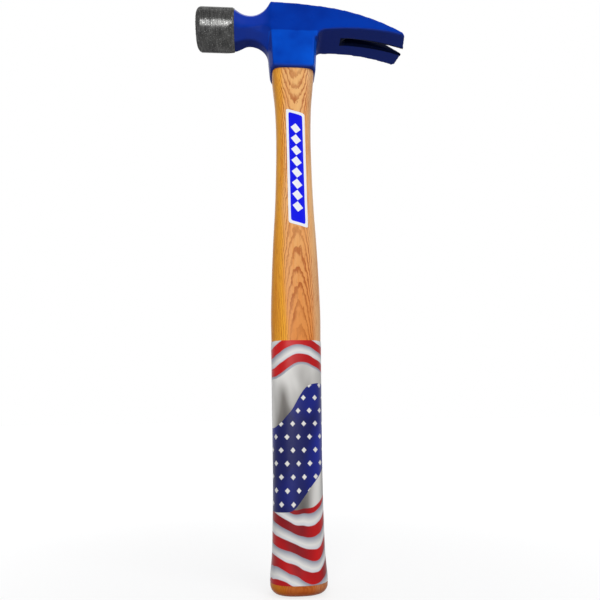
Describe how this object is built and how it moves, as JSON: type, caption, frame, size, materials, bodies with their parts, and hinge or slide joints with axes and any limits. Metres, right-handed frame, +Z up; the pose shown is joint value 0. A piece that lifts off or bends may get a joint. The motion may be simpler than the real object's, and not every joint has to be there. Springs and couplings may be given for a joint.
{
  "type": "framing hammer",
  "caption": "Rip-claw framing hammer: blue forged head with a milled round face and a long claw, wedged on a curved wooden handle with a label and a printed grip sleeve.",
  "frame": {"origin": "centre of the butt end of the handle", "axes": "+Z up the handle to the top of the head; the striking face looks along -X and the claw reaches along +X; +Y across the head, and the two sides of Y = 0 are alike"},
  "size_m": [0.166, 0.0378, 0.432],
  "materials": {
    "head_enamel": "gloss",
    "handle_wood": "satin",
    "wedge_wood": "matt",
    "bare_steel": "satin",
    "sleeve_film": "satin",
    "label_film": "gloss"
  },
  "bodies": {
    "root": {"head": "head_enamel", "handle": "handle_wood", "wood_wedge": "wedge_wood", "steel_wedge_front": "bare_steel", "steel_wedge_back": "bare_steel", "grip_sleeve": "sleeve_film", "label": "label_film"}
  },
  "joints": []
}
